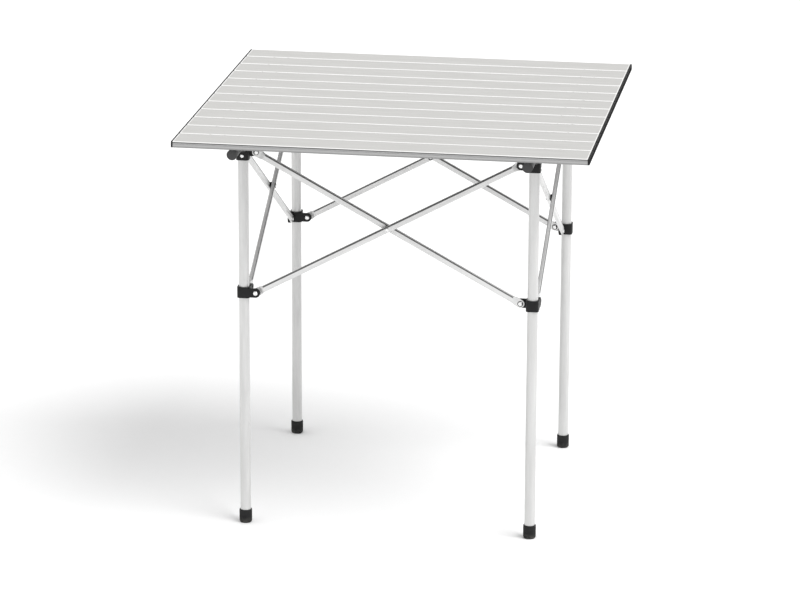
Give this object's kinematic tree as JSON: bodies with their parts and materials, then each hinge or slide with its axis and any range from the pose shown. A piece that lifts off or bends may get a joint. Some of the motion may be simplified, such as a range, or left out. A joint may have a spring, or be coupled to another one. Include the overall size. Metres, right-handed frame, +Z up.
{
  "type": "folding roll-top camp table",
  "caption": "Square aluminium camp table: a roll-up slatted top on two rails over a four-legged frame that folds by crossing bars and sliding collars.",
  "frame": {"origin": "on the ground under the middle of the table", "axes": "+Z up, +X along the slats to the right, +Y towards the back"},
  "size_m": [0.7, 0.6994, 0.7],
  "materials": {
    "slat_aluminium": "satin anodised, fine brushing along the slat",
    "leg_tube": "satin anodised tube",
    "brace_tube": "satin anodised tube",
    "rail_tube": "satin anodised tube",
    "rivet_metal": "bright steel rivets",
    "joint_plastic": "moulded black nylon",
    "fitting_plastic": "moulded dark grey nylon",
    "cap_plastic": "moulded black plastic",
    "foot_rubber": "moulded black rubber-like plastic",
    "elastic_cord": "woven white elastic"
  },
  "bodies": {
    "front_left_post": {"front_left_leg": "leg_tube", "front_left_foot": "foot_rubber", "front_left_hub": "joint_plastic"},
    "front_right_post": {"front_right_leg": "leg_tube", "front_right_foot": "foot_rubber", "front_right_hub": "joint_plastic"},
    "back_right_post": {"back_right_leg": "leg_tube", "back_right_foot": "foot_rubber", "back_right_hub": "joint_plastic"},
    "back_left_post": {"back_left_leg": "leg_tube", "back_left_foot": "foot_rubber", "back_left_hub": "joint_plastic"},
    "front_left_collar": {"front_left_collar": "joint_plastic"},
    "front_right_collar": {"front_right_collar": "joint_plastic"},
    "back_right_collar": {"back_right_collar": "joint_plastic"},
    "back_left_collar": {"back_left_collar": "joint_plastic"},
    "front_outer_bar": {"front_outer_brace": "brace_tube", "front_outer_rivets": "rivet_metal"},
    "front_inner_bar": {"front_inner_brace": "brace_tube", "front_inner_rivets": "rivet_metal"},
    "right_outer_bar": {"right_outer_brace": "brace_tube", "right_outer_rivets": "rivet_metal"},
    "right_inner_bar": {"right_inner_brace": "brace_tube", "right_inner_rivets": "rivet_metal"},
    "back_outer_bar": {"back_outer_brace": "brace_tube", "back_outer_rivets": "rivet_metal"},
    "back_inner_bar": {"back_inner_brace": "brace_tube", "back_inner_rivets": "rivet_metal"},
    "left_outer_bar": {"left_outer_brace": "brace_tube", "left_outer_rivets": "rivet_metal"},
    "left_inner_bar": {"left_inner_brace": "brace_tube", "left_inner_rivets": "rivet_metal"},
    "rails": {"left_rail": "rail_tube", "right_rail": "rail_tube", "rail_end_fittings": "fitting_plastic"},
    "top_slat_01": {"slat_01": "slat_aluminium", "slat_01_caps": "cap_plastic", "elastic_loops": "elastic_cord"},
    "top_slat_02": {"slat_02": "slat_aluminium", "slat_02_caps": "cap_plastic"},
    "top_slat_03": {"slat_03": "slat_aluminium", "slat_03_caps": "cap_plastic"},
    "top_slat_04": {"slat_04": "slat_aluminium", "slat_04_caps": "cap_plastic"},
    "top_slat_05": {"slat_05": "slat_aluminium", "slat_05_caps": "cap_plastic"},
    "top_slat_06": {"slat_06": "slat_aluminium", "slat_06_caps": "cap_plastic"},
    "top_slat_07": {"slat_07": "slat_aluminium", "slat_07_caps": "cap_plastic"},
    "top_slat_08": {"slat_08": "slat_aluminium", "slat_08_caps": "cap_plastic"},
    "top_slat_09": {"slat_09": "slat_aluminium", "slat_09_caps": "cap_plastic"},
    "top_slat_10": {"slat_10": "slat_aluminium", "slat_10_caps": "cap_plastic"},
    "top_slat_11": {"slat_11": "slat_aluminium", "slat_11_caps": "cap_plastic"},
    "top_slat_12": {"slat_12": "slat_aluminium", "slat_12_caps": "cap_plastic"}
  },
  "joints": [
    {"name": "frame_fold", "type": "hinge", "parent": "front_left_post", "child": "front_inner_bar", "pos_m": [-0.226, -0.2475, 0.6599], "axis": [0, 1, 0], "range_deg": [0, 56]},
    {"name": "front_cross", "type": "hinge", "parent": "front_inner_bar", "child": "front_outer_bar", "pos_m": [0, -0.2475, 0.53795], "axis": [0, 1, 0], "range_deg": [-112, 0]},
    {"name": "front_right_post_hinge", "type": "hinge", "parent": "front_outer_bar", "child": "front_right_post", "pos_m": [0.226, -0.2475, 0.6599], "axis": [0, 1, 0], "range_deg": [0, 56]},
    {"name": "front_left_collar_hinge", "type": "hinge", "parent": "front_outer_bar", "child": "front_left_collar", "pos_m": [-0.226, -0.2475, 0.416], "axis": [0, 1, 0], "range_deg": [0, 56]},
    {"name": "front_right_collar_hinge", "type": "hinge", "parent": "front_inner_bar", "child": "front_right_collar", "pos_m": [0.226, -0.2475, 0.416], "axis": [0, 1, 0], "range_deg": [-56, 0]},
    {"name": "right_fold", "type": "hinge", "parent": "front_right_post", "child": "right_inner_bar", "pos_m": [0.2475, -0.226, 0.6599], "axis": [-1, 0, 0], "range_deg": [0, 56]},
    {"name": "right_cross", "type": "hinge", "parent": "right_inner_bar", "child": "right_outer_bar", "pos_m": [0.2475, 0, 0.53795], "axis": [-1, 0, 0], "range_deg": [-112, 0]},
    {"name": "back_right_post_hinge", "type": "hinge", "parent": "right_outer_bar", "child": "back_right_post", "pos_m": [0.2475, 0.226, 0.6599], "axis": [-1, 0, 0], "range_deg": [0, 56]},
    {"name": "back_right_collar_hinge", "type": "hinge", "parent": "right_inner_bar", "child": "back_right_collar", "pos_m": [0.2475, 0.226, 0.416], "axis": [-1, 0, 0], "range_deg": [-56, 0]},
    {"name": "left_fold", "type": "hinge", "parent": "front_left_post", "child": "left_outer_bar", "pos_m": [-0.2475, -0.226, 0.6599], "axis": [-1, 0, 0], "range_deg": [0, 56]},
    {"name": "left_cross", "type": "hinge", "parent": "left_outer_bar", "child": "left_inner_bar", "pos_m": [-0.2475, 0, 0.53795], "axis": [-1, 0, 0], "range_deg": [-112, 0]},
    {"name": "back_left_post_hinge", "type": "hinge", "parent": "left_inner_bar", "child": "back_left_post", "pos_m": [-0.2475, 0.226, 0.6599], "axis": [-1, 0, 0], "range_deg": [0, 56]},
    {"name": "back_left_collar_hinge", "type": "hinge", "parent": "left_outer_bar", "child": "back_left_collar", "pos_m": [-0.2475, 0.226, 0.416], "axis": [-1, 0, 0], "range_deg": [-56, 0]},
    {"name": "back_fold", "type": "hinge", "parent": "back_right_post", "child": "back_inner_bar", "pos_m": [0.226, 0.2475, 0.6599], "axis": [0, -1, 0], "range_deg": [0, 56]},
    {"name": "back_cross", "type": "hinge", "parent": "back_inner_bar", "child": "back_outer_bar", "pos_m": [0, 0.2475, 0.53795], "axis": [0, -1, 0], "range_deg": [-112, 0]},
    {"name": "rails_lift", "type": "slide", "parent": "front_left_post", "child": "rails", "axis": [0, 0, 1], "range_m": [0, 0.08]},
    {"name": "top_lift", "type": "slide", "parent": "rails", "child": "top_slat_01", "axis": [0, 0, 1], "range_m": [0, 0.1]},
    {"name": "top_roll", "type": "hinge", "parent": "top_slat_01", "child": "top_slat_02", "pos_m": [0, -0.29167, 0.7], "axis": [1, 0, 0], "range_deg": [0, 46], "deforming": ["elastic_loops"]},
    {"name": "top_roll_02", "type": "hinge", "parent": "top_slat_02", "child": "top_slat_03", "pos_m": [0, -0.23333, 0.7], "axis": [1, 0, 0], "range_deg": [0, 46.56]},
    {"name": "top_roll_03", "type": "hinge", "parent": "top_slat_03", "child": "top_slat_04", "pos_m": [0, -0.175, 0.7], "axis": [1, 0, 0], "range_deg": [0, 48.21]},
    {"name": "top_roll_04", "type": "hinge", "parent": "top_slat_04", "child": "top_slat_05", "pos_m": [0, -0.11667, 0.7], "axis": [1, 0, 0], "range_deg": [0, 50.96]},
    {"name": "top_roll_05", "type": "hinge", "parent": "top_slat_05", "child": "top_slat_06", "pos_m": [0, -0.05833, 0.7], "axis": [1, 0, 0], "range_deg": [0, 54.81]},
    {"name": "top_roll_06", "type": "hinge", "parent": "top_slat_06", "child": "top_slat_07", "pos_m": [0, 0, 0.7], "axis": [1, 0, 0], "range_deg": [0, 59.76]},
    {"name": "top_roll_07", "type": "hinge", "parent": "top_slat_07", "child": "top_slat_08", "pos_m": [0, 0.05833, 0.7], "axis": [1, 0, 0], "range_deg": [0, 65.81]},
    {"name": "top_roll_08", "type": "hinge", "parent": "top_slat_08", "child": "top_slat_09", "pos_m": [0, 0.11667, 0.7], "axis": [1, 0, 0], "range_deg": [0, 72.96]},
    {"name": "top_roll_09", "type": "hinge", "parent": "top_slat_09", "child": "top_slat_10", "pos_m": [0, 0.175, 0.7], "axis": [1, 0, 0], "range_deg": [0, 81.21]},
    {"name": "top_roll_10", "type": "hinge", "parent": "top_slat_10", "child": "top_slat_11", "pos_m": [0, 0.23333, 0.7], "axis": [1, 0, 0], "range_deg": [0, 90.56]},
    {"name": "top_roll_11", "type": "hinge", "parent": "top_slat_11", "child": "top_slat_12", "pos_m": [0, 0.29167, 0.7], "axis": [1, 0, 0], "range_deg": [0, 101.01]}
  ],
  "couplings": [
    {"joint": "front_cross", "follows": "frame_fold", "ratio": -2},
    {"joint": "front_right_post_hinge", "follows": "frame_fold", "ratio": 1},
    {"joint": "front_left_collar_hinge", "follows": "frame_fold", "ratio": 1},
    {"joint": "front_right_collar_hinge", "follows": "frame_fold", "ratio": -1},
    {"joint": "right_fold", "follows": "frame_fold", "ratio": 1},
    {"joint": "right_cross", "follows": "frame_fold", "ratio": -2},
    {"joint": "back_right_post_hinge", "follows": "frame_fold", "ratio": 1},
    {"joint": "back_right_collar_hinge", "follows": "frame_fold", "ratio": -1},
    {"joint": "left_fold", "follows": "frame_fold", "ratio": 1},
    {"joint": "left_cross", "follows": "frame_fold", "ratio": -2},
    {"joint": "back_left_post_hinge", "follows": "frame_fold", "ratio": 1},
    {"joint": "back_left_collar_hinge", "follows": "frame_fold", "ratio": -1},
    {"joint": "back_fold", "follows": "frame_fold", "ratio": 1},
    {"joint": "back_cross", "follows": "frame_fold", "ratio": -2},
    {"joint": "top_roll_02", "follows": "top_roll", "ratio": 1.012},
    {"joint": "top_roll_03", "follows": "top_roll", "ratio": 1.0478},
    {"joint": "top_roll_04", "follows": "top_roll", "ratio": 1.1076},
    {"joint": "top_roll_05", "follows": "top_roll", "ratio": 1.1913},
    {"joint": "top_roll_06", "follows": "top_roll", "ratio": 1.2989},
    {"joint": "top_roll_07", "follows": "top_roll", "ratio": 1.4304},
    {"joint": "top_roll_08", "follows": "top_roll", "ratio": 1.5859},
    {"joint": "top_roll_09", "follows": "top_roll", "ratio": 1.7652},
    {"joint": "top_roll_10", "follows": "top_roll", "ratio": 1.9685},
    {"joint": "top_roll_11", "follows": "top_roll", "ratio": 2.1957}
  ]
}
